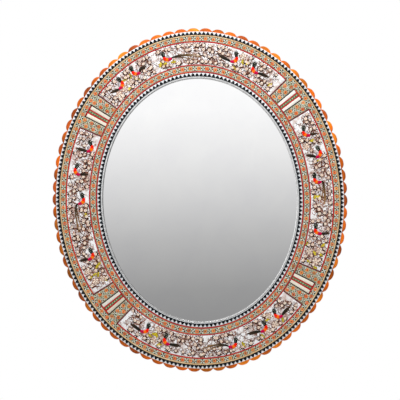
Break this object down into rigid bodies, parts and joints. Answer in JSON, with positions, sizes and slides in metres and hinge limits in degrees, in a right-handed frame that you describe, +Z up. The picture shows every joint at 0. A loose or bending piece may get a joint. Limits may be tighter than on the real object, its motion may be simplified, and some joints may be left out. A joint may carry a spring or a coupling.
{
  "type": "inlaid oval wall mirror",
  "caption": "Oval wall mirror in a wide inlaid wooden frame with dogtooth and flower bands, bird panels and a scalloped edge, hung on rings.",
  "frame": {"origin": "centre of the oval on the plane of the wall that the bumpers rest on", "axes": "+X to the right as seen from the front, +Z up, -Y towards the viewer, +Y into the wall"},
  "size_m": [0.5996, 0.0279, 0.7],
  "materials": {
    "orange_varnish": "varnished wood in orange tones, satin",
    "bare_wood": "planed wood, unfinished",
    "white_inlay": "white inlay, satin",
    "black_inlay": "near-black inlay, satin",
    "gold_line": "pale gold lacquer line",
    "flower_ground": "cream and sage ground with small painted flowers, satin lacquer",
    "frieze_ground": "pale lavender ground with painted roses, leaves and birds, satin lacquer",
    "red_line": "crimson line, satin lacquer",
    "striped_tile": "cream, red and green stripes, satin lacquer",
    "dark_line": "dark purple-brown line, satin lacquer",
    "silvered_glass": "silvered float glass",
    "grey_card": "grey packing card, matt",
    "hardboard": "brown hardboard, matt",
    "zinc_steel": "bright zinc plate",
    "brass_plate": "brass plate, satin",
    "black_rubber": "moulded black rubber"
  },
  "bodies": {
    "frame": {"carcass_top": "bare_wood", "carcass_right": "bare_wood", "carcass_bottom": "bare_wood", "carcass_left": "bare_wood", "scalloped_rim_top": "orange_varnish", "scalloped_rim_bottom": "orange_varnish", "outer_white_strip": "white_inlay", "outer_sawtooth_strip": "black_inlay", "inner_white_strip": "white_inlay", "inner_sawtooth_strip": "black_inlay", "gold_bead": "gold_line", "outer_flower_strip": "flower_ground", "inner_flower_strip": "flower_ground", "frieze_fillet": "red_line", "sight_fillet": "red_line", "stripe_tile_upper_right": "striped_tile", "stripe_tile_lower_right": "striped_tile", "stripe_tile_lower_left": "striped_tile", "stripe_tile_upper_left": "striped_tile", "divider_fillet_upper_right": "dark_line", "divider_fillet_lower_right": "dark_line", "divider_fillet_lower_left": "dark_line", "divider_fillet_upper_left": "dark_line", "flower_block_before_upper_right": "flower_ground", "flower_block_after_upper_right": "flower_ground", "flower_block_before_lower_right": "flower_ground", "flower_block_after_lower_right": "flower_ground", "flower_block_before_lower_left": "flower_ground", "flower_block_after_lower_left": "flower_ground", "flower_block_before_upper_left": "flower_ground", "flower_block_after_upper_left": "flower_ground", "panel_fillet_top": "red_line", "panel_fillet_right": "red_line", "panel_fillet_bottom": "red_line", "panel_fillet_left": "red_line", "frieze_panel_top": "frieze_ground", "frieze_panel_right": "frieze_ground", "frieze_panel_bottom": "frieze_ground", "frieze_panel_left": "frieze_ground", "mirror_glass": "silvered_glass", "packing_sheet": "grey_card", "backing_board": "hardboard", "button_screw_top": "zinc_steel", "button_screw_right": "zinc_steel", "button_screw_bottom": "zinc_steel", "button_screw_left": "zinc_steel", "hanger_strap_right": "zinc_steel", "hanger_strap_left": "zinc_steel", "strap_screw_right": "zinc_steel", "strap_screw_left": "zinc_steel", "bumper_right": "black_rubber", "bumper_left": "black_rubber"},
    "ring_right": {"hanger_ring_right": "zinc_steel"},
    "ring_left": {"hanger_ring_left": "zinc_steel"},
    "button_top": {"turn_button_top": "brass_plate"},
    "button_right": {"turn_button_right": "brass_plate"},
    "button_bottom": {"turn_button_bottom": "brass_plate"},
    "button_left": {"turn_button_left": "brass_plate"}
  },
  "joints": [
    {"name": "ring_right_swing", "type": "hinge", "parent": "frame", "child": "ring_right", "pos_m": [0.2214, -0.003, 0.13336], "axis": [1, 0, 0], "range_deg": [0, 180]},
    {"name": "ring_left_swing", "type": "hinge", "parent": "frame", "child": "ring_left", "pos_m": [-0.2214, -0.003, 0.13336], "axis": [1, 0, 0], "range_deg": [0, 180]},
    {"name": "button_top_turn", "type": "hinge", "parent": "frame", "child": "button_top", "pos_m": [0, -0.005, 0.26178], "axis": [0, 1, 0], "continuous": true},
    {"name": "button_right_turn", "type": "hinge", "parent": "frame", "child": "button_right", "pos_m": [0.212, -0.005, 0], "axis": [0, 1, 0], "continuous": true},
    {"name": "button_bottom_turn", "type": "hinge", "parent": "frame", "child": "button_bottom", "pos_m": [0, -0.005, -0.26178], "axis": [0, 1, 0], "continuous": true},
    {"name": "button_left_turn", "type": "hinge", "parent": "frame", "child": "button_left", "pos_m": [-0.212, -0.005, 0], "axis": [0, 1, 0], "continuous": true}
  ]
}
